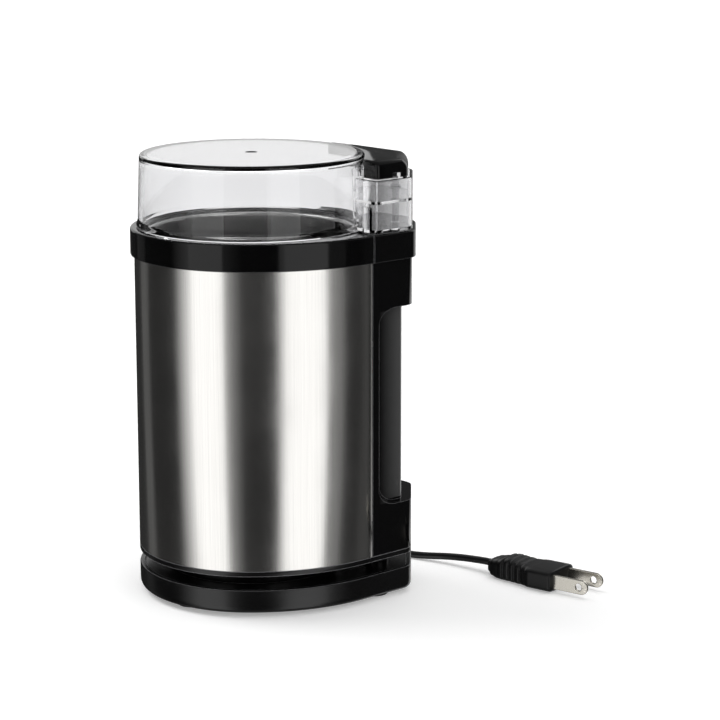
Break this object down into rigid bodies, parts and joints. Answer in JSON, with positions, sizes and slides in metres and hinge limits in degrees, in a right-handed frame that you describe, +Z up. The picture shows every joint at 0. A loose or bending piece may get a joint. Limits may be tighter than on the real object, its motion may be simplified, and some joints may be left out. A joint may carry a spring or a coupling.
{
  "type": "electric spice grinder",
  "caption": "Teardrop-bodied electric blade grinder: steel sleeve, clear lid with press bar, steel bowl, motor and mains cord",
  "frame": {"origin": "Middle of the body's outline on the plane that the feet rest on", "axes": "+Z up, +Y towards the tail of the body with the press bar, +X to the right seen from the round front"},
  "size_m": [0.1613, 0.2029, 0.1893],
  "materials": {
    "brushed_stainless": "upright brushed stainless steel sheet",
    "gloss_black": "glossy black moulded plastic",
    "satin_black": "satin black moulded plastic",
    "clear_plastic": "clear smoky moulded plastic",
    "polished_steel": "polished stainless steel sheet",
    "black_rubber": "soft black rubber",
    "white_seal": "off-white sealing rubber",
    "cord_black": "smooth black flexible sheath",
    "plug_black": "moulded black plastic",
    "warm_silver": "nickel-plated brass",
    "zinc_steel": "zinc-plated steel",
    "lamination_steel": "stacked electrical steel",
    "copper": "varnished copper",
    "bronze": "oil-filled sintered bronze",
    "carbon": "pressed carbon",
    "white_plastic": "white moulded plastic",
    "red_plastic": "red moulded plastic",
    "lead_red": "insulated wire",
    "spring_steel": "bright spring wire"
  },
  "bodies": {
    "housing": {"base_plate": "satin_black", "rubber_feet": "black_rubber", "base_screws": "zinc_steel", "cord_spool": "satin_black", "tail_spacer": "satin_black", "motor_housing": "satin_black", "steel_sleeve": "brushed_stainless", "tail_cover": "gloss_black", "tail_screws": "zinc_steel", "top_collar": "gloss_black", "grinding_bowl": "polished_steel", "bowl_gasket": "black_rubber", "bowl_carrier": "satin_black", "shaft_seal": "white_seal", "stator_core": "lamination_steel", "field_coils": "copper", "lower_bracket": "zinc_steel", "upper_bracket": "zinc_steel", "lower_bearing": "bronze", "upper_bearing": "bronze", "spacer_tubes": "zinc_steel", "motor_bolts": "zinc_steel", "rubber_mounts": "black_rubber", "mount_screws": "zinc_steel", "brush_holders": "bronze", "carbon_brushes": "carbon", "micro_switch": "satin_black", "switch_screws": "zinc_steel", "motor_leads": "lead_red", "cord_grommet": "cord_black", "cord_to_coil": "cord_black", "cord_coil": "cord_black", "coil_tie": "black_rubber", "cord_to_plug": "cord_black", "plug_body": "plug_black", "plug_prongs": "warm_silver", "rod_spring": "spring_steel"},
    "rotor": {"motor_shaft": "polished_steel", "rotor_core": "lamination_steel", "rotor_windings": "copper", "commutator": "copper", "cooling_fan": "white_plastic", "blade_hub": "polished_steel", "grinding_blade": "polished_steel", "blade_nut": "polished_steel"},
    "lid": {"lid_shell": "clear_plastic", "hinge_pin": "spring_steel", "bar_spring": "spring_steel"},
    "lever": {"press_bar": "gloss_black"},
    "pusher": {"lid_pusher": "clear_plastic"},
    "rod": {"switch_rod": "white_plastic", "switch_plunger": "red_plastic"}
  },
  "joints": [
    {"name": "motor_spin", "type": "hinge", "parent": "housing", "child": "rotor", "pos_m": [0, -0.009, 0.06], "axis": [0, 0, 1], "continuous": true},
    {"name": "lid_lift", "type": "slide", "parent": "housing", "child": "lid", "axis": [0, 0, 1], "range_m": [0, 0.04]},
    {"name": "bar_press", "type": "hinge", "parent": "lid", "child": "lever", "pos_m": [0, 0.0415, 0.1831], "axis": [-1, 0, 0], "range_deg": [0, 13.5], "stiffness_Nm_per_rad": 0.06},
    {"name": "pusher_slide", "type": "slide", "parent": "lid", "child": "pusher", "axis": [0, 0, -1], "range_m": [0, 0.00231]},
    {"name": "rod_slide", "type": "slide", "parent": "housing", "child": "rod", "axis": [0, 0, -1], "range_m": [0, 0.00231], "deforming": ["rod_spring"]}
  ],
  "couplings": [
    {"joint": "pusher_slide", "follows": "bar_press", "m_per_rad": 0.0097615},
    {"joint": "rod_slide", "follows": "bar_press", "m_per_rad": 0.0097615}
  ]
}
